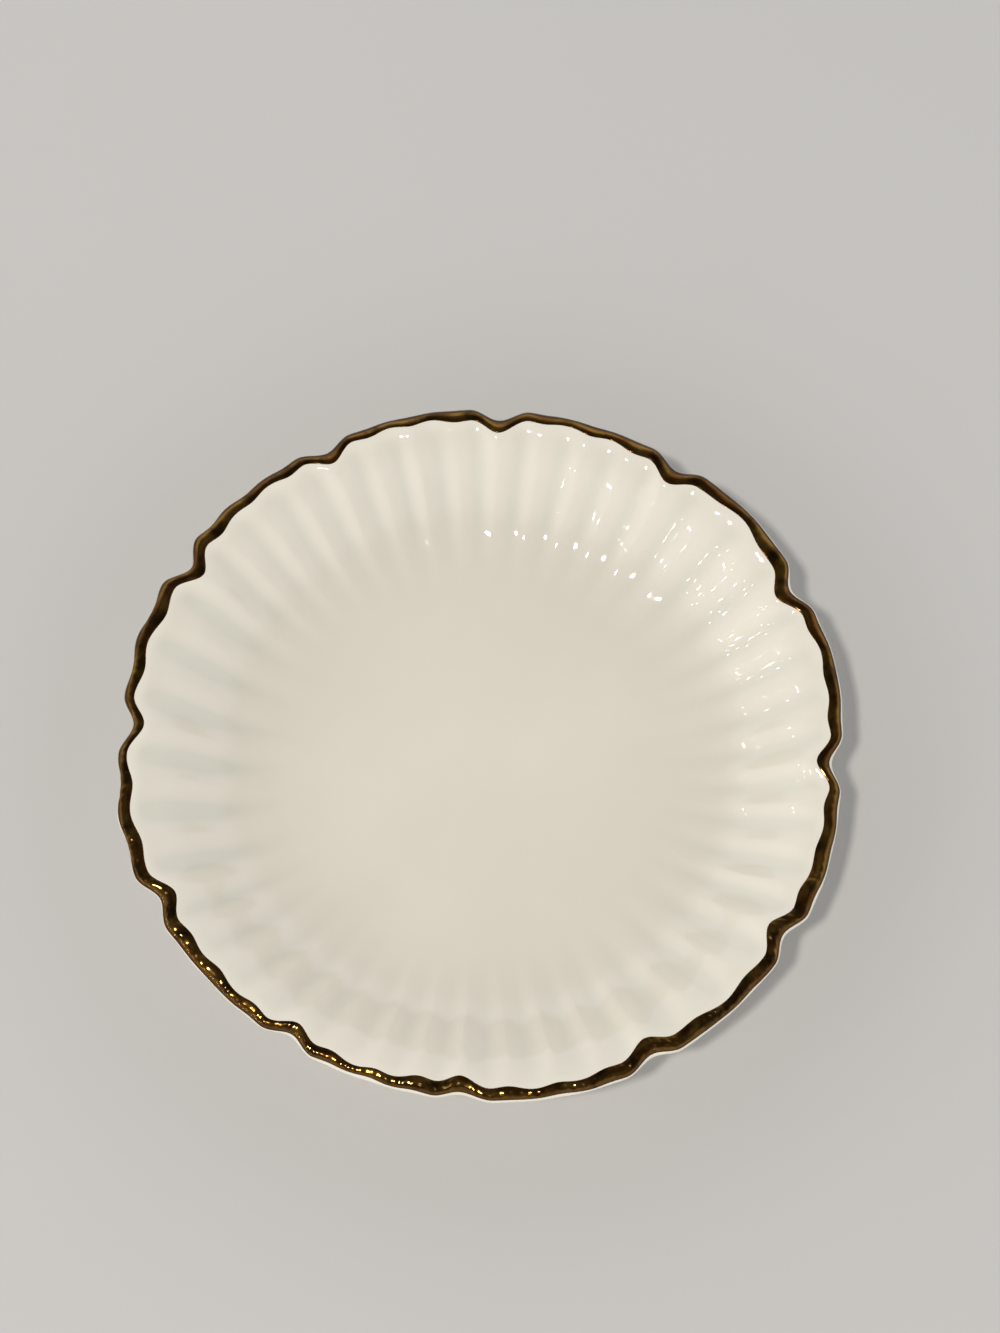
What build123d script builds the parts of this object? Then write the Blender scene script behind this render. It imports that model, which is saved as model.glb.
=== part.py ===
from build123d import *
import os

os.makedirs("parts", exist_ok=True)

# A small fluted porcelain ring dish with a gilded, scalloped lip. Millimetres, +Z up.
# The origin is on the surface that the dish stands on, under the middle of its well.

# Overall sizes
overall_diameter = 108.0
well_diameter = 58.0
well_depth = 11.3
floor_thickness = 2.5

# Lip: an upright edge under a low arched top, with a skin of gold over the whole arch that thins
# away to nothing at both sides
lip_width = 1.45
lip_edge_height = 0.75
lip_arch = 0.5
gold_thickness = 0.15

# Foot ring
foot_diameter = 61.0
foot_height = 2.2
foot_width = 3.4
foot_land = 1.6
foot_chamfer = 0.4

# Scallops: lobes between notches, each lobe three or four flutes wide
flutes_in_lobe = (4, 3, 4, 4, 4, 3, 3, 4, 4, 4, 3, 4)
flute_depth = 0.75
back_flute_depth = 0.3
notch_depth = 1.95

# Worked-out levels and radii
floor_top = foot_height + floor_thickness
overall_height = floor_top + well_depth
lip_top = overall_height - gold_thickness
gold_edge = lip_top - lip_arch
widest_line = gold_edge - lip_edge_height
foot_radius = foot_diameter / 2
well_radius = well_diameter / 2
lip_radius = overall_diameter / 2
lip_inner_radius = lip_radius - lip_width
lip_crown_radius = (lip_radius + lip_inner_radius) / 2

# Each wall section is given in shares: how far out it lies from the first radius to the last, how
# high from the first level to the last, and how much of the flute depth and notch depth it has.
# The inner wall curves up from the flat well, is steepest at about two thirds, and eases off at
# the lip. Flutes start as a trace at the well, so that every section keeps one arc for each flute,
# and the notches fade out below the lip.
inner_wall_shares = (
    (0.00, 0.000, 0.04, 0.00),
    (0.17, 0.048, 0.12, 0.00),
    (0.31, 0.133, 0.46, 0.02),
    (0.46, 0.290, 0.85, 0.05),
    (0.64, 0.565, 1.00, 0.13),
    (0.77, 0.785, 1.00, 0.30),
    (0.89, 0.935, 0.80, 0.62),
    (1.00, 1.000, 0.60, 1.00),
)
outer_wall_shares = (
    (0.00, 0.000, 0.04, 0.00),
    (0.12, 0.055, 0.10, 0.00),
    (0.25, 0.145, 0.42, 0.02),
    (0.41, 0.300, 0.80, 0.05),
    (0.59, 0.520, 1.00, 0.12),
    (0.74, 0.730, 0.90, 0.28),
    (0.86, 0.880, 0.70, 0.62),
    (1.00, 1.000, 0.50, 1.00),
)

# The depth that the flutes still have where they meet the lip, inside, outside and on its crown
inner_lip_flute = inner_wall_shares[-1][2] * flute_depth
outer_lip_flute = outer_wall_shares[-1][2] * back_flute_depth
crown_flute = (inner_lip_flute + outer_lip_flute) / 2


def scalloped_outline(crest_radius, flute, notch):
    """A closed line of arcs, one for each flute, full radius at the flute's middle. The ridges
    between flutes are drawn in by the flute depth, and those between lobes by the notch too."""
    lobe_angle = 360 / len(flutes_in_lobe)
    ridges = []
    crests = []
    for lobe, flutes in enumerate(flutes_in_lobe):
        for step in range(flutes):
            ridge_radius = crest_radius - flute
            if step == 0:
                ridge_radius -= notch
            ridge_angle = lobe_angle * (lobe + step / flutes)
            ridges.append(Vector(ridge_radius, 0).rotate(Axis.Z, ridge_angle))
            crest_angle = ridge_angle + lobe_angle / flutes / 2
            crests.append(Vector(crest_radius, 0).rotate(Axis.Z, crest_angle))
    with BuildLine() as outline:
        for ridge, crest, next_ridge in zip(ridges, crests, ridges[1:] + ridges[:1]):
            ThreePointArc(ridge, crest, next_ridge)
    return outline.line


def scalloped_section(level, radius, flute, notch=notch_depth):
    """A filled scalloped section at one level."""
    with BuildSketch(Plane.XY.offset(level)) as section:
        add(scalloped_outline(radius, flute, notch))
        make_face()
    return section.sketch


def wall_sections(shares, first_radius, last_radius, first_level, last_level, flute):
    """The sections of a wall, worked out from its shares and its first and last edges."""
    sections = []
    for out_share, up_share, flute_share, notch_share in shares:
        level = first_level + up_share * (last_level - first_level)
        radius = first_radius + out_share * (last_radius - first_radius)
        depths = (flute_share * flute, notch_share * notch_depth)
        sections.append(scalloped_section(level, radius, *depths))
    return sections


# The lip's two edges, and its crown with and without the gold
outer_edge = scalloped_section(gold_edge, lip_radius, outer_lip_flute)
inner_edge = scalloped_section(gold_edge, lip_inner_radius, inner_lip_flute)
bare_crown = scalloped_section(lip_top, lip_crown_radius, crown_flute)
gilded_crown = scalloped_section(overall_height, lip_crown_radius, crown_flute)

# Porcelain body
with BuildPart() as dish_body:
    back = wall_sections(
        outer_wall_shares, foot_radius, lip_radius, foot_height, widest_line, back_flute_depth
    )
    loft(back + [outer_edge, bare_crown], ruled=True)
    front = wall_sections(
        inner_wall_shares, well_radius, lip_inner_radius, floor_top, gold_edge, flute_depth
    )
    loft(front + [bare_crown], ruled=True, mode=Mode.SUBTRACT)
dish_body.part.label = "dish_body"
export_step(dish_body.part, "parts/dish_body.step")

# Gold: from edge to edge over the top of the lip
with BuildPart() as gold_rim:
    loft([outer_edge, gilded_crown], ruled=True)
    loft([outer_edge, bare_crown], ruled=True, mode=Mode.SUBTRACT)
    loft([inner_edge, bare_crown], ruled=True)
    loft([inner_edge, gilded_crown], ruled=True, mode=Mode.SUBTRACT)
gold_rim.part.label = "gold_rim"
export_step(gold_rim.part, "parts/gold_rim.step")

# Foot ring: bare porcelain, narrower at the land that it stands on
with BuildPart() as foot_ring:
    with BuildSketch(Plane.XZ):
        with BuildLine():
            Polyline(
                (foot_radius - foot_width, foot_height),
                (foot_radius, foot_height),
                (foot_radius - (foot_width - foot_land) / 2, 0),
                (foot_radius - (foot_width + foot_land) / 2, 0),
                close=True,
            )
        make_face()
    revolve(axis=Axis.Z)
    chamfer(foot_ring.edges().group_by(Axis.Z)[0], foot_chamfer)
foot_ring.part.label = "foot_ring"
export_step(foot_ring.part, "parts/foot_ring.step")
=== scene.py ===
"""A small fluted porcelain ring dish with a gilded, scalloped lip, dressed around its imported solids."""

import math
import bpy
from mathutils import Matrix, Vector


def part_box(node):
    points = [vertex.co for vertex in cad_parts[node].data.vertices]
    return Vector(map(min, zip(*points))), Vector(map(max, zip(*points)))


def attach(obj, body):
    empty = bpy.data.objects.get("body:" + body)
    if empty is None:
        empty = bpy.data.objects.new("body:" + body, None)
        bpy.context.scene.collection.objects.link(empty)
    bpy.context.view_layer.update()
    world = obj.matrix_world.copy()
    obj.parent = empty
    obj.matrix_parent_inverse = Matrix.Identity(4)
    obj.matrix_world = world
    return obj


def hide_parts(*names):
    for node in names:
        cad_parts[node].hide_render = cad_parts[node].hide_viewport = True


bl_info = {
    "name": "Ring dish",
    "version": (1, 0, 0),
    "blender": (4, 5, 0),
    "location": "3D View > Sidebar > Ring dish",
    "description": "Makes a fluted porcelain ring dish with a gilded lip, and a plain stage for it",
    "category": "Add Mesh",
}

import bpy
import numpy as np
from bpy.props import FloatProperty, FloatVectorProperty, IntProperty, PointerProperty
from mathutils import Quaternion, Vector

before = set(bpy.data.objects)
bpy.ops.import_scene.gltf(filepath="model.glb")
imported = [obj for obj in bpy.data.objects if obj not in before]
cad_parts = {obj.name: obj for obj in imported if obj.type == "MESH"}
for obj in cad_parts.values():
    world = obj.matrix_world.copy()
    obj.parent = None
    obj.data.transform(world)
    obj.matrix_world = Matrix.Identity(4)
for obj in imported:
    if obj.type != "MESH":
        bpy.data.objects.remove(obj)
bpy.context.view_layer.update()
body_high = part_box("dish_body")[1]
rim_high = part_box("gold_rim")[1]

# Surfaces are worked out in millimetres and written to the meshes in metres
METRE = 1000.0

# How much less than the solids' own the dish's radius and the height of its crown are, in metres,
# before anything stands out unevenly
RADIUS_INSIDE = 0.00015
CROWN_INSIDE = 0.00035

# Lobes counted round from +X, one every 30 degrees: how many degrees further round the notch before
# the lobe is than it should be, how deep that notch is as a share, and how many flutes the lobe has
LOBES = (
    (0.0, 1.05, 4),
    (0.5, 1.08, 3),
    (-1.2, 1.00, 4),
    (0.0, 1.15, 4),
    (0.0, 0.90, 4),
    (0.6, 1.15, 3),
    (-0.2, 0.85, 3),
    (-0.2, 0.92, 4),
    (0.8, 0.85, 4),
    (-0.3, 0.58, 4),
    (0.7, 0.80, 3),
    (-0.2, 1.00, 4),
)

# What the hand and the firing left uneven round the dish, and painted shade: the angle, how far
# the wall stands out there in millimetres, how far the outside of the lip is rippled at the flutes'
# ridges, how far the gold reaches outwards along the profile from the crown of the lip, and how
# lumpy the gold is and how much glaze ran together in the flutes, with painted shade there that is
# stronger on some sides of the dish, both as shares
AROUND = (
    (0, 0.02, 0.10, 1.20, 0.50, 1.0),
    (15, 1.05, 0.12, 1.20, 0.40, 1.0),
    (30, 1.05, 0.12, 1.25, 0.20, 1.0),
    (45, 1.40, 0.12, 1.25, 0.15, 1.0),
    (60, 0.85, 0.12, 1.65, 0.15, 1.0),
    (75, 0.42, 0.12, 1.95, 0.15, 1.0),
    (105, 0.10, 0.12, 1.95, 0.20, 0.9),
    (135, 0.20, 0.32, 1.95, 0.20, 0.8),
    (165, 0.60, 0.80, 1.85, 0.40, 1.5),
    (180, 0.05, 0.60, 1.45, 0.90, 1.9),
    (187, 0.42, 0.60, 1.35, 1.00, 1.9),
    (195, 1.10, 0.85, 1.32, 1.10, 1.8),
    (210, 0.55, 0.30, 1.32, 1.10, 1.3),
    (225, -0.30, 0.12, 1.32, 1.10, 0.8),
    (240, -0.60, 0.10, 1.25, 1.00, 0.6),
    (255, -0.80, 0.08, 1.12, 1.00, 0.5),
    (270, -0.45, 0.06, 1.15, 1.10, 0.5),
    (285, 0.20, 0.06, 1.20, 1.20, 0.6),
    (315, 0.45, 0.06, 1.22, 1.20, 1.2),
    (345, 0.60, 0.06, 1.22, 0.90, 1.2),
)
AROUND_COLUMNS = ("angle", "stands out", "lip ripple", "gold outward", "gold lumps", "glaze pool and shade")

# How far the brush took the gold inwards along the profile from the crown of the lip: the angle
# and the distance
GOLD_INWARD = (
    (0, 0.50),
    (15, 0.75),
    (22, 0.55),
    (30, 1.20),
    (38, 1.15),
    (45, 0.45),
    (51, 0.75),
    (67, 0.70),
    (75, 0.30),
    (90, 0.60),
    (97, 0.70),
    (105, 0.20),
    (120, 0.45),
    (135, 0.40),
    (142, 0.80),
    (156, 0.95),
    (165, 0.70),
    (175, 0.30),
    (187, 0.25),
    (195, 0.70),
    (202, 0.80),
    (217, 0.95),
    (225, 0.60),
    (240, 0.40),
    (247, 0.55),
    (255, 0.15),
    (263, 0.90),
    (277, 0.50),
    (285, 0.35),
    (293, 0.80),
    (307, 1.15),
    (315, 0.50),
    (322, 0.80),
    (337, 1.20),
    (350, 0.75),
)

# The dish's profile, from the middle of the well over the lip to the middle of the underside: radius
# and height in the middle of a flute, how far a ridge is drawn in and raised from there, how far a
# notch is drawn in, and the number of mesh rows up to the next point
PROFILE = (
    (0.00, 4.68, 0.00, 0.00, 0.00, 1),
    (14.0, 4.69, 0.00, 0.00, 0.00, 1),
    (24.0, 4.70, 0.00, 0.00, 0.00, 2),
    (28.0, 4.71, 0.00, 0.01, 0.00, 3),
    (31.5, 4.81, 0.01, 0.04, 0.00, 3),
    (34.0, 5.07, 0.03, 0.10, 0.00, 4),
    (37.2, 5.76, 0.12, 0.20, 0.02, 4),
    (39.4, 6.68, 0.21, 0.31, 0.06, 5),
    (42.0, 8.50, 0.32, 0.41, 0.14, 5),
    (44.5, 10.70, 0.35, 0.43, 0.30, 5),
    (46.8, 12.80, 0.33, 0.40, 0.56, 5),
    (48.6, 14.14, 0.32, 0.34, 0.90, 4),
    (50.0, 14.93, 0.34, 0.28, 1.22, 4),
    (51.2, 15.38, 0.36, 0.23, 1.47, 4),
    (52.0, 15.55, 0.36, 0.13, 1.60, 3),
    (52.6, 15.60, 0.33, 0.09, 1.66, 4),
    (53.25, 15.45, 0.25, 0.04, 1.63, 4),
    (53.68, 15.10, 0.15, 0.00, 1.53, 3),
    (53.88, 14.72, 0.08, 0.00, 1.45, 3),
    (53.76, 14.38, 0.08, 0.00, 1.40, 3),
    (53.0, 13.98, 0.10, 0.00, 1.32, 3),
    (51.6, 13.35, 0.14, -0.04, 1.14, 4),
    (49.6, 12.15, 0.18, -0.08, 0.86, 5),
    (46.9, 10.10, 0.20, -0.12, 0.50, 5),
    (43.6, 7.60, 0.18, -0.14, 0.20, 5),
    (40.0, 5.30, 0.13, -0.12, 0.05, 4),
    (36.5, 3.75, 0.07, -0.08, 0.00, 3),
    (33.3, 2.80, 0.02, -0.02, 0.00, 2),
    (31.2, 2.38, 0.00, 0.00, 0.00, 2),
    (30.0, 2.25, 0.00, 0.00, 0.00, 2),
    (20.0, 2.30, 0.00, 0.00, 0.00, 1),
    (0.00, 2.40, 0.00, 0.00, 0.00, 0),
)

# The profile's points on the crown of the lip and on its widest line outside
CROWN = 15
LIP_OUTSIDE = 18

# The wall stands out unevenly by a share that grows from nothing at the first of these radii to the
# whole at the second
WALL_START = 29.0
WALL_END = 53.0

# How far from a line along the profile each of these has faded to about a third: the lip's own
# waves and rounder ridges, the ripple on the lip's outside, and the whiter glaze, whose middle lies
# inside the crown
LIP_REACH = 3.0
RIPPLE_REACH = 0.8
WHITE_REACH = 1.5
WHITE_INSIDE_CROWN = 0.6

# How much rounder the ridges are on the lip than on the wall
LIP_ROUNDNESS = 0.7

# Slight unevenness round the dish, each line one sum of sine waves: a seed, a size in millimetres
# or as a share, and how many times each wave goes up and down in a turn
RIDGE_DEPTH_WAVES = (3, 0.13, (5, 9, 14, 22, 31))
WALL_RADIUS_WAVES = (5, 0.04, (7, 11, 17))
WALL_HEIGHT_WAVES = (6, 0.05, (2, 3, 5, 8))
LIP_HEIGHT_WAVES = (17, 0.03, (37, 52, 71, 88))
GOLD_INNER_WAVES = (11, 0.04, (13, 21, 34, 55))
GOLD_OUTER_WAVES = (12, 0.05, (8, 13, 21, 34, 55))
LUMP_WAVES = (21, 0.7, (197, 223, 251, 286))
CROSSING_LUMP_WAVES = (22, 0.7, (171, 209, 239, 263, 311))

# How far the two sets of lumps lean round the dish, in radians for each millimetre across the gold
LUMP_LEAN = 0.006
CROSSING_LUMP_LEAN = 0.009

# Gold: its mesh columns for each one of the glaze, its mesh rows, the share of its thickness that
# is added everywhere, at its edges too, how deep its underside lies in the glaze, and how much
# further in its inner edge goes on a ridge: this far, and this share of the lip's ripple
GOLD_FINER = 2
GOLD_ROWS = 22
GOLD_EDGE_SHARE = 0.3
GOLD_ROOT = 0.03
GOLD_OVER_RIDGES = 0.05
GOLD_OVER_RIPPLE = 0.5

# Gold is darkened as painted dark reflection from the first of these distances outwards from the
# crown, and wholly after the second distance more. It is also darkened as painted dark reflection
# up to the third from its inner edge.
DARK_EDGE_START = 0.25
DARK_EDGE_RUN = 0.6
DARK_INNER_EDGE = 0.2

# The pattern of the brush's streaks is laid round a circle of the first radius and moves on by the
# second for each millimetre across the gold
STREAKS_ROUND = 9.0
STREAKS_ACROSS = 1.6

# The foot ring's profile, from its buried outer top edge down to the land that it stands on, up
# inside and back: radius and height. Then its mesh rows and columns, and the height up to which it
# is scuffed.
FOOT_PROFILE = (
    (31.55, 2.60),
    (31.00, 2.16),
    (30.62, 1.88),
    (30.38, 1.50),
    (30.08, 0.80),
    (29.92, 0.38),
    (29.72, 0.12),
    (29.40, 0.00),
    (28.80, 0.00),
    (28.20, 0.00),
    (27.88, 0.12),
    (27.68, 0.38),
    (27.52, 0.80),
    (27.24, 1.50),
    (27.00, 1.90),
    (26.60, 2.16),
    (25.90, 2.34),
    (26.60, 2.60),
    (29.00, 2.70),
)
FOOT_ROWS = 60
FOOT_COLUMNS = 432
SCUFFED_HEIGHT = 0.25

# The camera, as it stood for the photograph: its place and target in metres, its roll in degrees,
# its focal length and its picture's long side in pixels, and the sensor's long side in millimetres
CAMERA_PLACE = (0.0024, -0.1247, 0.439)
CAMERA_TARGET = (0.00213, 0.01214, 0.0157)
CAMERA_ROLL = 2.907
FOCAL_PIXELS = 2966
PICTURE_PIXELS = 1333
SENSOR_WIDTH = 36.0

# The stage: half the floor's side in metres, and how dark its clouds are as a share of its colour
FLOOR_HALF = 3.0
FLOOR_CLOUDS = 0.93

# How far the lamps stand from the origin, what they are turned to, both in metres, and how many
# small ones there are
LAMP_DISTANCE = 1.5
LAMP_TARGET = (0, 0, 0.01)
SMALL_LAMPS = 7

# The room is bright up to the first of these heights on a sphere of radius 1 and dim from the
# second, where it has this share of its brightness lower down
ROOM_BRIGHT_UP_TO = 0.35
ROOM_DIM_FROM = 0.9
ROOM_DIM_SHARE = 0.1
ROOM_STRENGTH = 1.3


class DishShape(bpy.types.PropertyGroup):
    """Sizes of the dish."""

    radius: FloatProperty(
        name="Radius",
        description="Distance from the middle of the dish to the widest part of its lobes",
        default=max(body_high.x, body_high.y) - RADIUS_INSIDE,
        min=0.01,
        unit="LENGTH",
        subtype="DISTANCE",
    )
    height: FloatProperty(
        name="Height",
        description="Height of the crown of the lip under the gold",
        default=rim_high.z - CROWN_INSIDE,
        min=0.005,
        unit="LENGTH",
        subtype="DISTANCE",
    )
    flute_share: FloatProperty(
        name="Flutes",
        description="Depth of the flutes, as a share of their usual depth",
        default=1.0,
        min=0.0,
        max=1.5,
        subtype="FACTOR",
    )
    notch_share: FloatProperty(
        name="Notches",
        description="Depth of the notches between lobes, as a share of their usual depth",
        default=1.0,
        min=0.0,
        max=1.5,
        subtype="FACTOR",
    )
    notch_angle: FloatProperty(
        name="Notch width",
        description="Angle from the middle of a notch to where it has faded out",
        default=math.radians(5.0),
        min=math.radians(2),
        max=math.radians(12),
        subtype="ANGLE",
    )
    ridge_roundness: FloatProperty(
        name="Ridge roundness",
        description="How round the ridges between flutes are on the wall: 0 is sharp",
        default=0.25,
        min=0.05,
        max=1.0,
        subtype="FACTOR",
    )
    unevenness: FloatProperty(
        name="Unevenness",
        description="How far from round the hand and the firing left the dish, as a share",
        default=1.0,
        min=0.0,
        max=1.0,
        subtype="FACTOR",
    )
    gold_thickness: FloatProperty(
        name="Gold thickness",
        description="How much thicker the gold is along its middle than at its edges",
        default=0.00004,
        min=0.00002,
        max=0.0003,
        unit="LENGTH",
        subtype="DISTANCE",
    )
    gold_lumps: FloatProperty(
        name="Gold lumps",
        description="Height of the fine lumps that the brush left in the gold",
        default=0.000016,
        min=0.0,
        max=0.00003,
        unit="LENGTH",
        subtype="DISTANCE",
    )
    columns_in_lobe: IntProperty(
        name="Columns in a lobe",
        description="Mesh columns across one lobe: a number that both 3 and 4 divide",
        default=72,
        min=12,
        max=96,
    )


def colour_property(name, description, default):
    """A colour to choose, which starts as the default."""
    return FloatVectorProperty(
        name=name, description=description, default=default, min=0.0, max=1.0, size=3, subtype="COLOR"
    )


class DishColours(bpy.types.PropertyGroup):
    """Colours of the dish and its stage."""

    glaze: colour_property(
        name="Glaze",
        description="Warm ivory of the glazed porcelain",
        default=(0.765, 0.715, 0.615),
    )
    # Also the colour of the painted shade along the middles of the flutes.
    pooled_glaze_and_shade: colour_property(
        name="Pooled glaze",
        description="Glaze where it lies thick in the flutes, a little greyer and greener",
        default=(0.68, 0.655, 0.56),
    )
    thin_glaze: colour_property(
        name="Thin glaze",
        description="Glaze where it runs thin over the lip, a little whiter",
        default=(0.84, 0.80, 0.70),
    )
    speck: colour_property(
        name="Specks",
        description="Small brown specks under the glaze",
        default=(0.16, 0.11, 0.06),
    )
    # Its dark brown stands partly for dark reflections of a dim room: painted dark reflection.
    gold: colour_property(
        name="Gold",
        description="Fired gold where it is bright",
        default=(0.33, 0.185, 0.04),
    )
    # Also painted reflection: redder brown in patches and at the gold's edges.
    thin_gold_and_reflection: colour_property(
        name="Thin gold",
        description="Fired gold where the brush left it thin, which is browner",
        default=(0.19, 0.075, 0.016),
    )
    # At the gold's edges this colour is painted dark reflection; in patches it is smoked gold.
    smoked_gold_and_dark_reflection: colour_property(
        name="Burnt gold",
        description="Fired gold that burnt or smoked dark brown, at its edges and in patches",
        default=(0.05, 0.026, 0.01),
    )
    bare: colour_property(
        name="Bare porcelain",
        description="Unglazed porcelain of the foot",
        default=(0.74, 0.69, 0.58),
    )
    scuffs: colour_property(
        name="Scuffs",
        description="Grey marks on the foot from the surfaces it has stood on",
        default=(0.36, 0.33, 0.29),
    )
    floor: colour_property(
        name="Floor",
        description="Pale floor under the dish",
        default=(0.58, 0.57, 0.55),
    )


def smooth_curve(at, places, values):
    """A line through the values at the places, bent like a draughtsman's spline: between two
    places it is a cubic, and its slope and its bend change evenly through each place."""
    at, places, values = (np.asarray(item, float) for item in (at, places, values))
    steps = np.diff(places)
    slopes = np.diff(values) / steps
    count = len(places)
    system = np.zeros((count, count))
    wanted = np.zeros(count)
    middle = np.arange(1, count - 1)
    system[middle, middle - 1] = 1 / steps[:-1]
    system[middle, middle] = 2 / steps[:-1] + 2 / steps[1:]
    system[middle, middle + 1] = 1 / steps[1:]
    wanted[middle] = 3 * (slopes[:-1] / steps[:-1] + slopes[1:] / steps[1:])
    system[0, :2] = 2, 1
    wanted[0] = 3 * slopes[0]
    system[-1, -2:] = 1, 2
    wanted[-1] = 3 * slopes[-1]
    tangents = np.linalg.solve(system, wanted)
    piece = np.clip(np.searchsorted(places, at, side="right") - 1, 0, count - 2)
    step = steps[piece]
    share = (at - places[piece]) / step
    rest = 1 - share
    return (
        values[piece] * (1 + 2 * share) * rest**2
        + values[piece + 1] * (3 - 2 * share) * share**2
        + tangents[piece] * step * share * rest**2
        - tangents[piece + 1] * step * rest * share**2
    )


def round_curve(angle, places, values):
    """The same kind of line round a full turn: its places are angles in degrees, and the last
    three before and the first three after are repeated at its ends, so that it closes smoothly."""
    places = np.asarray(places, float)
    values = np.asarray(values, float)
    turned = np.concatenate((places[-3:] - 360, places, places[:3] + 360))
    repeated = np.concatenate((values[-3:], values, values[:3]))
    return smooth_curve(np.degrees(angle) % 360, turned, repeated)


def wander(angle, seed, size, waves):
    """A slight unevenness round the dish: sine waves of these whole numbers of turns, with random
    heights and starts, scaled so that their root mean square is the size."""
    draw = np.random.default_rng(seed)
    waves = np.asarray(waves)
    heights = draw.uniform(0.4, 1.0, len(waves))
    starts = draw.uniform(0, 2 * np.pi, len(waves))
    total = (heights * np.sin(np.asarray(angle)[..., None] * waves + starts)).sum(-1)
    return size * total / np.sqrt((heights**2).sum() / 2)


def distances_along(radii, heights):
    """Distances from the first of a profile's points to each of them, straight from point to
    point."""
    runs = np.hypot(np.diff(radii), np.diff(heights))
    return np.concatenate(((0,), np.cumsum(runs)))


RADII, HEIGHTS, DRAWN_IN, RAISED, NOTCHED, ROWS = np.array(PROFILE).T
ALONG = distances_along(RADII, HEIGHTS)
CROWN_ALONG = ALONG[CROWN]
NOTCH_SHIFTS, NOTCH_DEPTHS, FLUTES = np.array(LOBES).T


def around(name, angle):
    """One named column of the table of unevenness, at angles round the dish."""
    table = np.array(AROUND)
    return round_curve(angle, table[:, 0], table[:, AROUND_COLUMNS.index(name)])


def lobe_turn(angle):
    """How many lobes an angle lies from the first notch: a whole number in each notch. Between
    notches, which may lie a little off their even places, it grows at an even rate."""
    count = len(LOBES)
    degrees = np.degrees(angle) % 360
    notches = np.arange(count) * 360 / count + NOTCH_SHIFTS
    repeated = np.concatenate((notches[-1:] - 360, notches, notches[:1] + 360))
    return np.interp(degrees, repeated, np.arange(-1, count + 1)) % count


def ridge_height(angle, roundness):
    """1 on each ridge between flutes and 0 in the middle of each flute. Across a flute it is a
    half sine turned over, and its square is raised by the roundness, which blunts the ridge."""
    turn = lobe_turn(angle)
    lobe = np.minimum(turn.astype(int), len(LOBES) - 1)
    wave = np.sin(np.pi * (turn - lobe) * FLUTES[lobe])
    blunt = np.sqrt(wave**2 + roundness**2) - roundness
    return 1 - blunt / (np.sqrt(1 + roundness**2) - roundness)


def notch_height(angle, half_width):
    """That notch's share of the depth in the middle of each notch, falling as a raised cosine to
    0 at its half width."""
    turn = lobe_turn(angle)
    nearest = np.round(turn)
    away = np.abs(turn - nearest) * 2 * np.pi / len(LOBES)
    share = NOTCH_DEPTHS[nearest.astype(int) % len(LOBES)]
    return share * (0.5 + 0.5 * np.cos(np.pi * np.minimum(away / half_width, 1)))


def brush_lumps(angle, across):
    """Fine lumps in brushed gold, about 1 high: two sets of short waves round the dish, which lean
    opposite ways across the band, so that they meet in lumps."""
    one = wander(angle + LUMP_LEAN * across, *LUMP_WAVES)
    other = wander(angle - CROSSING_LUMP_LEAN * across, *CROSSING_LUMP_WAVES)
    return one + other


def bell(distance, reach):
    """1 where the distance is 0, falling away on both sides as e to the power of minus the square
    of the distance over the reach."""
    return np.exp(-((distance / reach) ** 2))


def dish_points(shape, angle, along):
    """Points of the glazed surface, in millimetres, at angles round the dish and distances along
    its profile. The profile gives the radius and the height in the middle of a flute. A ridge is
    drawn in and raised from there, a notch is drawn in, and the wall stands out and rises
    unevenly, by a share that grows up the wall as three squares less two cubes."""
    columns = (RADII, HEIGHTS, DRAWN_IN, RAISED, NOTCHED)
    radius, height, drawn, raised, notch = (smooth_curve(along, ALONG, column) for column in columns)
    out_scale = shape.radius * METRE / RADII.max()
    up_scale = shape.height * METRE / HEIGHTS.max()
    wall = np.clip((radius - WALL_START) / (WALL_END - WALL_START), 0, 1)
    wall = wall * wall * (3 - 2 * wall)
    near_lip = bell(along - CROWN_ALONG, LIP_REACH)
    roundness = shape.ridge_roundness + LIP_ROUNDNESS * near_lip
    ridge = ridge_height(angle, roundness) * shape.flute_share
    ridge = ridge * (1 + wander(angle, *RIDGE_DEPTH_WAVES))
    notch = notch_height(angle, shape.notch_angle) * shape.notch_share * np.maximum(notch, 0)
    ripple = around("lip ripple", angle) * bell(along - ALONG[LIP_OUTSIDE], RIPPLE_REACH)
    stand_out = around("stands out", angle) + wander(angle, *WALL_RADIUS_WAVES)
    radius = radius * out_scale + wall * stand_out * shape.unevenness
    radius = radius - np.maximum(drawn, ripple) * ridge - notch
    height = height * up_scale + raised * ridge
    height = height + near_lip * wander(angle, *LIP_HEIGHT_WAVES) * shape.unevenness
    height = height + wall * wander(angle, *WALL_HEIGHT_WAVES) * shape.unevenness
    return np.stack((radius * np.cos(angle), radius * np.sin(angle), height), -1)


def dish_normals(shape, angle, along):
    """Outward directions of that surface: the cross product of its two slopes, each measured
    between points a short step to both sides."""
    step = 0.002
    usual_radius = 50
    turn = step / usual_radius
    out = dish_points(shape, angle, along + step) - dish_points(shape, angle, along - step)
    sideways = dish_points(shape, angle + turn, along) - dish_points(shape, angle - turn, along)
    normals = np.cross(out, sideways)
    return normals / np.linalg.norm(normals, axis=-1, keepdims=True)


def full_turn(columns):
    """The angles of this many mesh columns, once round without the repeated last one."""
    return np.arange(columns) * 2 * np.pi / columns


def grid_faces(rows, columns, closed):
    """Corner numbers of a grid's four-sided faces: round the columns, and from each row to the
    next, or back to the first where the grid is closed that way too."""
    row = np.arange(rows if closed else rows - 1)[:, None]
    column = np.arange(columns)[None, :]
    next_row = (row + 1) % rows
    next_column = (column + 1) % columns
    corners = (
        row * columns + column,
        next_row * columns + column,
        next_row * columns + next_column,
        row * columns + next_column,
    )
    return np.stack(corners, -1).reshape(-1, 4)


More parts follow.
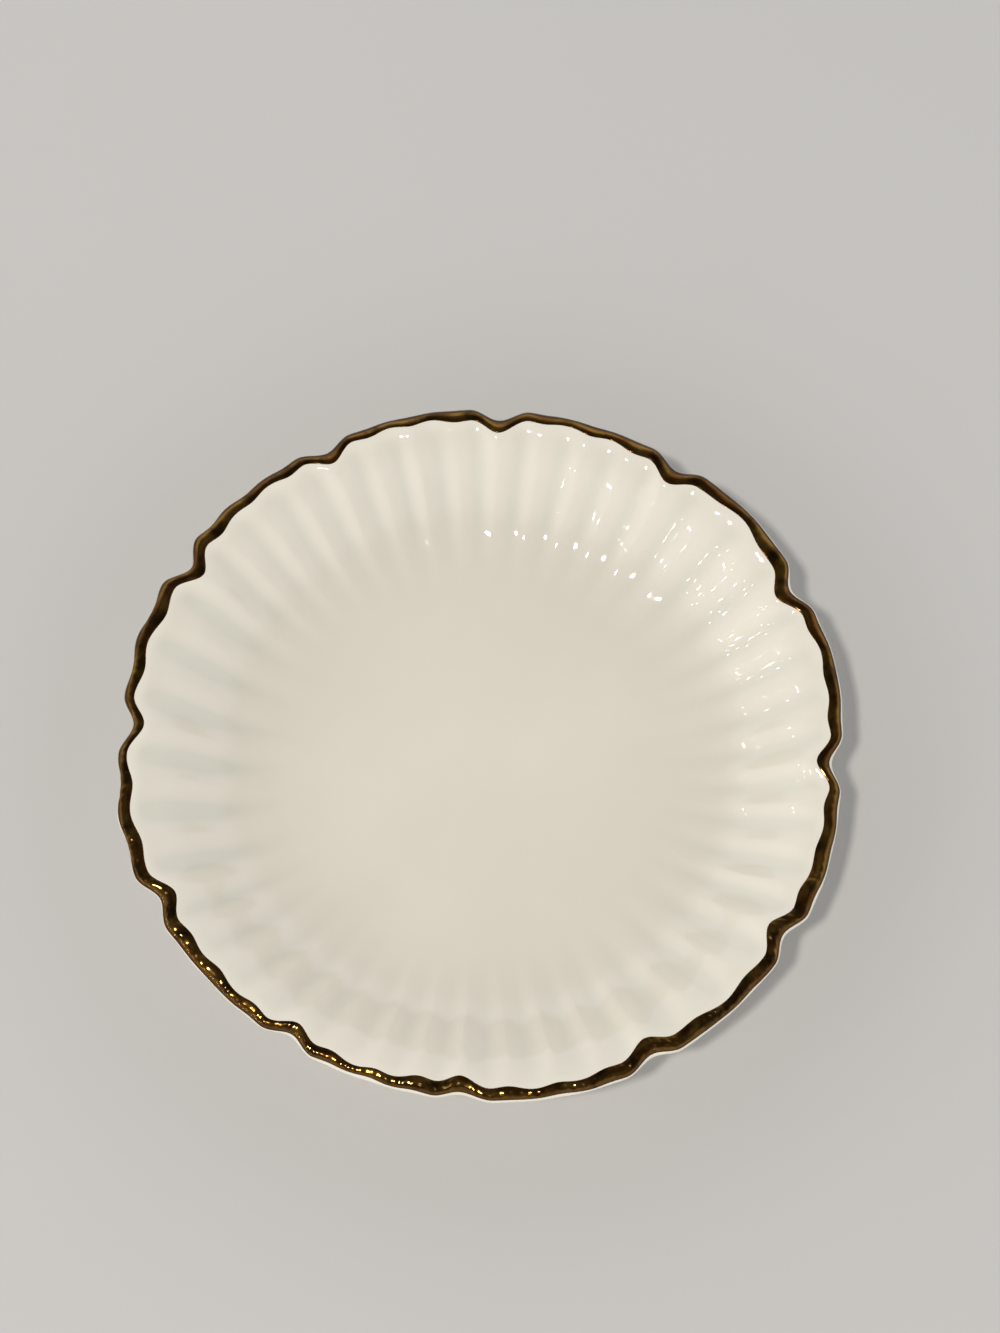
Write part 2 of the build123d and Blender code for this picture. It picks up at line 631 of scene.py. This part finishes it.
def make_piece(name, points, faces, attributes, material):
    """A smooth-shaded mesh object at the origin, from points in millimetres, with its attributes,
    one number or one vector for each point."""
    mesh = bpy.data.meshes.new(name)
    mesh.from_pydata((points / METRE).tolist(), [], faces)
    for label, values in attributes.items():
        if values.ndim == 1:
            layer = mesh.attributes.new(label, "FLOAT", "POINT")
            layer.data.foreach_set("value", values.astype(np.float32))
        else:
            layer = mesh.attributes.new(label, "FLOAT_VECTOR", "POINT")
            layer.data.foreach_set("vector", values.astype(np.float32).ravel())
    mesh.shade_smooth()
    mesh.materials.append(material)
    mesh.validate()
    piece = bpy.data.objects.new(name, mesh)
    bpy.context.scene.collection.objects.link(piece)
    return piece


def fill(tree, node, inputs):
    """Gives a node's inputs their values, or links them from the sockets given."""
    for socket, value in inputs.items():
        if isinstance(value, bpy.types.NodeSocket):
            tree.links.new(value, node.inputs[socket])
        else:
            node.inputs[socket].default_value = value


def add_node(tree, kind, inputs=None, **settings):
    """A node of this kind with its settings and its inputs."""
    node = tree.nodes.new(kind)
    for name, value in settings.items():
        setattr(node, name, value)
    fill(tree, node, inputs or {})
    return node


def new_group(name, inputs, outputs):
    """An empty shader node group with these sockets, and its two end nodes."""
    group = bpy.data.node_groups.new(name, "ShaderNodeTree")
    for label, kind, default in inputs:
        socket = group.interface.new_socket(name=label, in_out="INPUT", socket_type=kind)
        if default is not None:
            socket.default_value = default
    for label, kind in outputs:
        group.interface.new_socket(name=label, in_out="OUTPUT", socket_type=kind)
    return group, group.nodes.new("NodeGroupInput"), group.nodes.new("NodeGroupOutput")


def patches_group():
    """Soft cloudy patches from a low to a high value."""
    name = "Patches"
    if name in bpy.data.node_groups:
        return bpy.data.node_groups[name]
    inputs = (
        ("Vector", "NodeSocketVector", None),
        ("Scale", "NodeSocketFloat", 50.0),
        ("Low", "NodeSocketFloat", 0.0),
        ("High", "NodeSocketFloat", 1.0),
    )
    group, start, end = new_group(name, inputs, (("Value", "NodeSocketFloat"),))
    noise = add_node(
        group,
        "ShaderNodeTexNoise",
        {"Vector": start.outputs["Vector"], "Scale": start.outputs["Scale"], "Detail": 3.0},
    )
    spread = add_node(
        group,
        "ShaderNodeMapRange",
        {
            "Value": noise.outputs["Fac"],
            "From Min": 0.3,
            "From Max": 0.7,
            "To Min": start.outputs["Low"],
            "To Max": start.outputs["High"],
        },
        interpolation_type="SMOOTHSTEP",
    )
    group.links.new(spread.outputs["Result"], end.inputs["Value"])
    return group


def specks_group():
    """Small round specks, scattered in some of the cells of an even pattern."""
    name = "Specks"
    if name in bpy.data.node_groups:
        return bpy.data.node_groups[name]
    inputs = (
        ("Vector", "NodeSocketVector", None),
        ("Scale", "NodeSocketFloat", 100.0),
        ("Size", "NodeSocketFloat", 0.05),
        ("Share", "NodeSocketFloat", 0.05),
    )
    group, start, end = new_group(name, inputs, (("Mask", "NodeSocketFloat"),))
    cells = add_node(
        group,
        "ShaderNodeTexVoronoi",
        {"Vector": start.outputs["Vector"], "Scale": start.outputs["Scale"]},
    )
    inside = add_node(
        group,
        "ShaderNodeMapRange",
        {
            "Value": cells.outputs["Distance"],
            "From Min": start.outputs["Size"],
            "From Max": 0.0,
        },
    )
    chance = add_node(
        group,
        "ShaderNodeMath",
        {0: cells.outputs["Color"], 1: start.outputs["Share"]},
        operation="LESS_THAN",
    )
    both = add_node(
        group,
        "ShaderNodeMath",
        {0: inside.outputs["Result"], 1: chance.outputs["Value"]},
        operation="MULTIPLY",
    )
    group.links.new(both.outputs["Value"], end.inputs["Mask"])
    return group


def use_group(tree, group, **inputs):
    """The output of this group, placed in a material with its own values."""
    node = tree.nodes.new("ShaderNodeGroup")
    node.node_tree = group
    fill(tree, node, inputs)
    return node.outputs[0]


def attribute(tree, name, output="Fac"):
    """The output of one of the piece's own attributes."""
    return add_node(tree, "ShaderNodeAttribute", attribute_name=name).outputs[output]


def object_place(tree):
    """The place on the object, which sits at the origin."""
    return add_node(tree, "ShaderNodeTexCoord").outputs["Object"]


def mix_colour(tree, share, first, second):
    """From the first colour to the second by a share. The Mix node has sockets of the same names
    for numbers and for colours, so they are picked by their places."""
    node = add_node(tree, "ShaderNodeMix", data_type="RGBA")
    fill(tree, node, {0: share, 6: first, 7: second})
    return node.outputs[2]


def maths(tree, operation, first, second, clamp=False):
    """One sum on two numbers."""
    node = add_node(
        tree, "ShaderNodeMath", {0: first, 1: second}, operation=operation, use_clamp=clamp
    )
    return node.outputs["Value"]


def bump(tree, height, strength, distance):
    """Fine relief from a height."""
    inputs = {"Height": height, "Strength": strength, "Distance": distance}
    return add_node(tree, "ShaderNodeBump", inputs).outputs["Normal"]


def new_material(name, **settings):
    """A material with one main shader, and constants on the shader's own sockets."""
    material = bpy.data.materials.new(name)
    material.use_nodes = True
    shader = material.node_tree.nodes["Principled BSDF"]
    for label, value in settings.items():
        shader.inputs[label.replace("_", " ")].default_value = value
    return material, material.node_tree, shader


def opaque(colour):
    """The colour with full alpha."""
    return (*colour, 1.0)


def glaze_material(colours):
    """Clear glossy glaze over warm ivory porcelain: greyer where it pools in the flutes, with painted
    shade along them, whiter where it thins at the lip, faintly cloudy, with a few specks and a slightly
    rippled face."""
    most_pooled_and_shaded = 0.95
    most_thin = 0.5
    material, tree, shader = new_material("Glazed porcelain", IOR=1.52)
    place = object_place(tree)
    clouds = use_group(tree, patches_group(), Vector=place, Scale=38.0, Low=0.0, High=0.35)
    # Painted shade and pooled glaze: the flutes' middles are greyed towards the pooled colour
    pooled_and_shaded = maths(tree, "MULTIPLY", attribute(tree, "pooled_and_shaded"), most_pooled_and_shaded)
    tint = maths(tree, "ADD", clouds, pooled_and_shaded, clamp=True)
    colour = mix_colour(tree, tint, opaque(colours.glaze), opaque(colours.pooled_glaze_and_shade))
    lip = maths(tree, "MULTIPLY", attribute(tree, "lip"), most_thin)
    colour = mix_colour(tree, lip, colour, opaque(colours.thin_glaze))
    specks = use_group(tree, specks_group(), Vector=place, Scale=110.0, Size=0.03, Share=0.02)
    colour = mix_colour(tree, specks, colour, opaque(colours.speck))
    tree.links.new(colour, shader.inputs["Base Color"])
    gloss = use_group(tree, patches_group(), Vector=place, Scale=90.0, Low=0.03, High=0.08)
    tree.links.new(gloss, shader.inputs["Roughness"])
    ripple = add_node(tree, "ShaderNodeTexNoise", {"Vector": place, "Scale": 260.0, "Detail": 2.0})
    normal = bump(tree, ripple.outputs["Fac"], strength=0.25, distance=0.00008)
    tree.links.new(normal, shader.inputs["Normal"])
    return material


def gold_material(colours):
    """Dark fired gold put on with a brush, its dark brown partly painted dark reflection: streaks along
    the lip, redder brown where it is thin and in patches of painted reflection, dark in smoky patches
    and at its edges, where dark reflection is painted, with small pits."""
    most_darkened = 0.85
    material, tree, shader = new_material("Fired gold", Metallic=1.0)
    place = object_place(tree)
    brush = attribute(tree, "brush", "Vector")
    streaks = use_group(tree, patches_group(), Vector=brush, Scale=1.0, Low=0.0, High=1.0)
    # Painted reflection: patches that turn the brush's streaks redder brown, and browner edges.
    patches = use_group(tree, patches_group(), Vector=place, Scale=190.0, Low=0.0, High=1.8)
    thin_and_reflection = maths(tree, "MULTIPLY", streaks, patches)
    thin_and_reflection = maths(tree, "ADD", thin_and_reflection, attribute(tree, "thin_and_reflection"), clamp=True)
    colour = mix_colour(tree, thin_and_reflection, opaque(colours.gold), opaque(colours.thin_gold_and_reflection))
    smoke = use_group(tree, patches_group(), Vector=place, Scale=340.0, Low=0.0, High=1.0)
    # Painted dark reflection over the gold's outside and along its inner edge, with smoky patches.
    darkening = maths(tree, "MULTIPLY", attribute(tree, "darkening"), most_darkened)
    darkening = maths(tree, "MAXIMUM", darkening, smoke, clamp=True)
    colour = mix_colour(tree, darkening, colour, opaque(colours.smoked_gold_and_dark_reflection))
    tree.links.new(colour, shader.inputs["Base Color"])
    gloss = use_group(tree, patches_group(), Vector=place, Scale=500.0, Low=0.09, High=0.18)
    tree.links.new(gloss, shader.inputs["Roughness"])
    pits = use_group(tree, specks_group(), Vector=place, Scale=1500.0, Size=0.3, Share=0.25)
    relief = maths(tree, "SUBTRACT", streaks, pits)
    normal = bump(tree, relief, strength=0.5, distance=0.00003)
    tree.links.new(normal, shader.inputs["Normal"])
    return material


def bare_material(colours):
    """Matte unglazed porcelain with a fine grain and specks, scuffed grey where it stands."""
    most_scuffed = 0.55
    material, tree, shader = new_material("Bare porcelain", IOR=1.45)
    place = object_place(tree)
    clouds = use_group(tree, patches_group(), Vector=place, Scale=300.0, Low=0.0, High=1.0)
    scuffed = maths(tree, "MULTIPLY", clouds, attribute(tree, "land"))
    scuffed = maths(tree, "MULTIPLY", scuffed, most_scuffed)
    colour = mix_colour(tree, scuffed, opaque(colours.bare), opaque(colours.scuffs))
    specks = use_group(tree, specks_group(), Vector=place, Scale=400.0, Size=0.08, Share=0.04)
    colour = mix_colour(tree, specks, colour, opaque(colours.speck))
    tree.links.new(colour, shader.inputs["Base Color"])
    roughness = use_group(tree, patches_group(), Vector=place, Scale=700.0, Low=0.55, High=0.8)
    tree.links.new(roughness, shader.inputs["Roughness"])
    grain = add_node(tree, "ShaderNodeTexNoise", {"Vector": place, "Scale": 4000.0, "Detail": 3.0})
    normal = bump(tree, grain.outputs["Fac"], strength=0.6, distance=0.00004)
    tree.links.new(normal, shader.inputs["Normal"])
    return material


class RINGDISH_OT_body(bpy.types.Operator):
    """Make the glazed body: well, fluted wall, lip, back and underside"""

    bl_idname = "ring_dish.body"
    bl_label = "Glazed body"

    def execute(self, context):
        shape = context.scene.ring_dish_shape
        parts = []
        for first, last, rows in zip(ALONG[:-1], ALONG[1:], ROWS[:-1].astype(int)):
            parts.append(np.linspace(first, last, rows, endpoint=False))
        along = np.concatenate(parts)[1:, None]
        angle = full_turn(shape.columns_in_lobe * len(LOBES))[None, :]
        rings = dish_points(shape, angle, along)
        rows, columns = rings.shape[:2]

        # The middles of the well and of the underside are one point each, with a fan of triangles
        middles = np.array(((0, 0, rings[0, :, 2].mean()), (0, 0, rings[-1, :, 2].mean())))
        points = np.concatenate((rings.reshape(-1, 3), middles))
        column = np.arange(columns)
        next_column = (column + 1) % columns
        well = np.full(columns, rows * columns)
        underside = well + 1
        last_row = (rows - 1) * columns
        well_fan = np.stack((well, column, next_column), -1)
        under_fan = np.stack((underside, last_row + next_column, last_row + column), -1)
        faces = grid_faces(rows, columns, closed=False).tolist()
        faces += well_fan.tolist() + under_fan.tolist()

        # Glaze pools in a narrow line along the middle of each flute, the more the higher the ridges
        # beside it are, and not on the lip. The same line carries painted shade in the flutes, more on
        # some sides of the dish than others.
        flute = np.maximum(smooth_curve(along, ALONG, RAISED), 0) / RAISED.max()
        hollow = 1 - ridge_height(angle, shape.ridge_roundness)
        near_lip = bell(along - CROWN_ALONG + WHITE_INSIDE_CROWN, WHITE_REACH)
        lip = near_lip * np.ones_like(angle)
        pooled_and_shaded = flute * hollow**4 * (1 - near_lip) * around("glaze pool and shade", angle)
        attributes = {
            "pooled_and_shaded": np.append(pooled_and_shaded.ravel(), (0, 0)),
            "lip": np.append(lip.ravel(), (0, 0)),
        }
        material = glaze_material(context.scene.ring_dish_colours)
        piece = make_piece("glazed_body", points, faces, attributes, material)
        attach(piece, "root")
        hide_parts("dish_body")
        return {"FINISHED"}


class RINGDISH_OT_gold(bpy.types.Operator):
    """Make the gold over the lip: a thin skin with brushed, wandering edges"""

    bl_idname = "ring_dish.gold"
    bl_label = "Gold rim"

    def execute(self, context):
        shape = context.scene.ring_dish_shape
        angle = full_turn(shape.columns_in_lobe * len(LOBES) * GOLD_FINER)[None, :]
        reach = np.array(GOLD_INWARD)
        inward = round_curve(angle, reach[:, 0], reach[:, 1]) + wander(angle, *GOLD_INNER_WAVES)
        outward = around("gold outward", angle) + wander(angle, *GOLD_OUTER_WAVES)

        # The brush leaves the inner edge a little wider over ridges, where it presses harder
        ridges = ridge_height(angle, shape.ridge_roundness + LIP_ROUNDNESS)
        over_ridge = GOLD_OVER_RIPPLE * around("lip ripple", angle) + GOLD_OVER_RIDGES
        inward = inward + over_ridge * ridges

        # The skin swells from both its edges to the middle, as 1 less a fourth power, and its
        # underside has every other row of its outside
        share = np.linspace(0, 1, GOLD_ROWS)[:, None]
        along = CROWN_ALONG - inward + (inward + outward) * share
        across = along - CROWN_ALONG
        surface = dish_points(shape, angle, along)
        normals = dish_normals(shape, angle, along)
        edge = 1 - np.abs(2 * share - 1) ** 4
        lumps = brush_lumps(angle, across) * shape.gold_lumps * METRE * around("gold lumps", angle)
        thickness = shape.gold_thickness * METRE * (edge + GOLD_EDGE_SHARE) + lumps * edge
        outside = surface + normals * thickness[..., None]
        inside = surface[::-2] - normals[::-2] * GOLD_ROOT
        points = np.concatenate((outside, inside))
        faces = grid_faces(*points.shape[:2], closed=True).tolist()

        # Streaks run round the lip: their pattern is stretched along it, and close across it
        both_sides = np.concatenate((across, across[::-2]))
        turned = angle + 0 * both_sides
        brush = np.stack((np.cos(turned), np.sin(turned), both_sides), -1)
        brush = brush * (STREAKS_ROUND, STREAKS_ROUND, STREAKS_ACROSS)

        # Thin and browner at both edges, by a fifth power, partly as painted reflection, and darkened
        # over the outside and along the inner edge as painted dark reflection
        thin_and_reflection = np.abs(2 * share - 1) ** 5 * np.ones_like(angle)
        darkening = np.clip((across - DARK_EDGE_START) / DARK_EDGE_RUN, 0, 1)
        darkening = darkening + np.clip(1 - (across + inward) / DARK_INNER_EDGE, 0, 1)
        attributes = {
            "thin_and_reflection": np.concatenate((thin_and_reflection, thin_and_reflection[::-2])).ravel(),
            "darkening": np.concatenate((darkening, darkening[::-2])).ravel(),
            "brush": brush.reshape(-1, 3),
        }
        material = gold_material(context.scene.ring_dish_colours)
        piece = make_piece("gold_lip", points.reshape(-1, 3), faces, attributes, material)
        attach(piece, "root")
        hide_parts("gold_rim")
        return {"FINISHED"}


class RINGDISH_OT_foot(bpy.types.Operator):
    """Make the bare foot ring that the dish stands on"""

    bl_idname = "ring_dish.foot"
    bl_label = "Foot ring"

    def execute(self, context):
        radii, heights = np.array(FOOT_PROFILE + FOOT_PROFILE[:1]).T
        places = distances_along(radii, heights)
        at = np.linspace(0, places[-1], FOOT_ROWS, endpoint=False)[:, None]
        angle = full_turn(FOOT_COLUMNS)[None, :]
        radius = smooth_curve(at, places, radii) + 0 * angle
        height = np.maximum(smooth_curve(at, places, heights), 0) + 0 * angle
        points = np.stack((radius * np.cos(angle), radius * np.sin(angle), height), -1)
        faces = grid_faces(*points.shape[:2], closed=True).tolist()
        attributes = {"land": np.clip(1 - height / SCUFFED_HEIGHT, 0, 1).ravel()}
        material = bare_material(context.scene.ring_dish_colours)
        piece = make_piece("bare_foot", points.reshape(-1, 3), faces, attributes, material)
        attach(piece, "root")
        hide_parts("foot_ring")
        return {"FINISHED"}


def aim(thing, place, target, roll=0.0):
    """Puts a lamp or camera at a place and turns it to a target, then rolls it about its view."""
    turn = (Vector(target) - Vector(place)).to_track_quat("-Z", "Y")
    thing.rotation_mode = "QUATERNION"
    thing.rotation_quaternion = turn @ Quaternion((0, 0, 1), roll)
    thing.location = place


def add_lamp(name, azimuth, elevation, width, power, colour):
    """A round soft lamp that looks at the dish from a direction given in degrees."""
    lamp = bpy.data.lights.new(name, "AREA")
    lamp.shape = "DISK"
    lamp.size = width
    lamp.energy = power
    lamp.color = colour
    thing = bpy.data.objects.new(name, lamp)
    bpy.context.scene.collection.objects.link(thing)
    level = LAMP_DISTANCE * math.cos(math.radians(elevation))
    place = (
        level * math.cos(math.radians(azimuth)),
        level * math.sin(math.radians(azimuth)),
        LAMP_DISTANCE * math.sin(math.radians(elevation)),
    )
    aim(thing, place, LAMP_TARGET)


class RINGDISH_OT_stage(bpy.types.Operator):
    """Make the pale floor, the soft lamps, the world and the camera"""

    bl_idname = "ring_dish.stage"
    bl_label = "Stage"

    def execute(self, context):
        scene = context.scene
        colours = scene.ring_dish_colours
        corners = np.array(((-1, -1, 0), (1, -1, 0), (1, 1, 0), (-1, 1, 0))) * FLOOR_HALF * METRE
        material, tree, shader = new_material("Pale floor", Roughness=0.65)
        place = object_place(tree)
        clouds = use_group(tree, patches_group(), Vector=place, Scale=6.0, Low=0.0, High=0.3)
        darker = [FLOOR_CLOUDS * part for part in colours.floor]
        colour = mix_colour(tree, clouds, opaque(colours.floor), opaque(darker))
        tree.links.new(colour, shader.inputs["Base Color"])
        floor = make_piece("floor", corners, [(0, 1, 2, 3)], {}, material)

        # The key lamp gives the shadow and the row of bright dots low on the wall. The small lamps,
        # which stand at three heights in turn, give the short streaks above them.
        warm_white = (1.0, 0.96, 0.90)
        add_lamp("key lamp", azimuth=226, elevation=70, width=0.13, power=9.1, colour=warm_white)
        for number in range(SMALL_LAMPS):
            add_lamp(
                "small lamp",
                azimuth=184 + 7 * number,
                elevation=21 + 6 * (2 * number % 3),
                width=0.03,
                power=0.25,
                colour=(1.0, 0.92, 0.86),
            )

        # The room's light comes from low down all round and falls off towards the ceiling
        world = bpy.data.worlds.new("Soft room")
        world.use_nodes = True
        tree = world.node_tree
        sky = tree.nodes["Background"]
        toward = add_node(tree, "ShaderNodeTexCoord").outputs["Generated"]
        part = add_node(tree, "ShaderNodeSeparateXYZ", {"Vector": toward})
        glow = add_node(
            tree,
            "ShaderNodeMapRange",
            {
                "Value": part.outputs["Z"],
                "From Min": ROOM_BRIGHT_UP_TO,
                "From Max": ROOM_DIM_FROM,
                "To Min": 1.0,
                "To Max": ROOM_DIM_SHARE,
            },
            interpolation_type="SMOOTHSTEP",
        )
        black = opaque((0.0, 0.0, 0.0))
        daylight = opaque((0.97, 0.98, 1.0))
        colour = mix_colour(tree, glow.outputs["Result"], black, daylight)
        tree.links.new(colour, sky.inputs["Color"])
        sky.inputs["Strength"].default_value = ROOM_STRENGTH
        scene.world = world

        lens = bpy.data.cameras.new("Camera")
        lens.sensor_width = SENSOR_WIDTH
        lens.lens = FOCAL_PIXELS * SENSOR_WIDTH / PICTURE_PIXELS
        camera = bpy.data.objects.new("Camera", lens)
        scene.collection.objects.link(camera)
        aim(camera, CAMERA_PLACE, CAMERA_TARGET, math.radians(CAMERA_ROLL))
        scene.camera = camera
        scene.view_settings.view_transform = "Standard"
        return {"FINISHED"}


class RINGDISH_PT_panel(bpy.types.Panel):
    """Sizes, colours and makers of the ring dish"""

    bl_idname = "RINGDISH_PT_panel"
    bl_label = "Ring dish"
    bl_space_type = "VIEW_3D"
    bl_region_type = "UI"
    bl_category = "Ring dish"

    def draw(self, context):
        layout = self.layout
        for group in (context.scene.ring_dish_shape, context.scene.ring_dish_colours):
            for name in group.__annotations__:
                layout.prop(group, name)
        for maker in MAKERS:
            layout.operator(maker.bl_idname)


MAKERS = (RINGDISH_OT_body, RINGDISH_OT_gold, RINGDISH_OT_foot, RINGDISH_OT_stage)
CLASSES = (DishShape, DishColours, *MAKERS, RINGDISH_PT_panel)


def register():
    for part in CLASSES:
        bpy.utils.register_class(part)
    bpy.types.Scene.ring_dish_shape = PointerProperty(type=DishShape)
    bpy.types.Scene.ring_dish_colours = PointerProperty(type=DishColours)


def unregister():
    del bpy.types.Scene.ring_dish_colours
    del bpy.types.Scene.ring_dish_shape
    for part in reversed(CLASSES):
        bpy.utils.unregister_class(part)


def main():
    register()
    bpy.ops.ring_dish.body()
    bpy.ops.ring_dish.gold()
    bpy.ops.ring_dish.foot()
    bpy.ops.ring_dish.stage()


if __name__ == "__main__":
    main()
